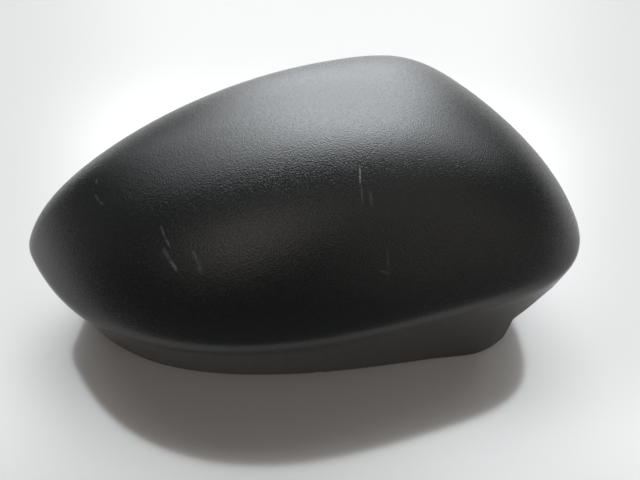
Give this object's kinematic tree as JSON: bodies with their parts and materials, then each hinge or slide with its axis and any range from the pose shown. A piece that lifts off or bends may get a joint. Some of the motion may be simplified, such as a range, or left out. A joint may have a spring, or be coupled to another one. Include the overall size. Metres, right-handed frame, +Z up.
{
  "type": "wing mirror cover",
  "caption": "Cap for a car's door mirror: a domed shell with a rounded crease, a tucked-in skirt and an arm recess, held by snap hooks and pegs inside.",
  "frame": {"origin": "centre of the bounding box, on the plane that the rim rests on", "axes": "+X from the pointed outboard tip to the broad inboard end, -Y towards the near side in the picture, +Z up through the crown, away from the open side"},
  "size_m": [0.2322, 0.1684, 0.0985],
  "materials": {
    "black_plastic": "fine moulded grain, satin, with a few scratches"
  },
  "bodies": {
    "root": {"mirror_cover": "black_plastic"}
  },
  "joints": []
}
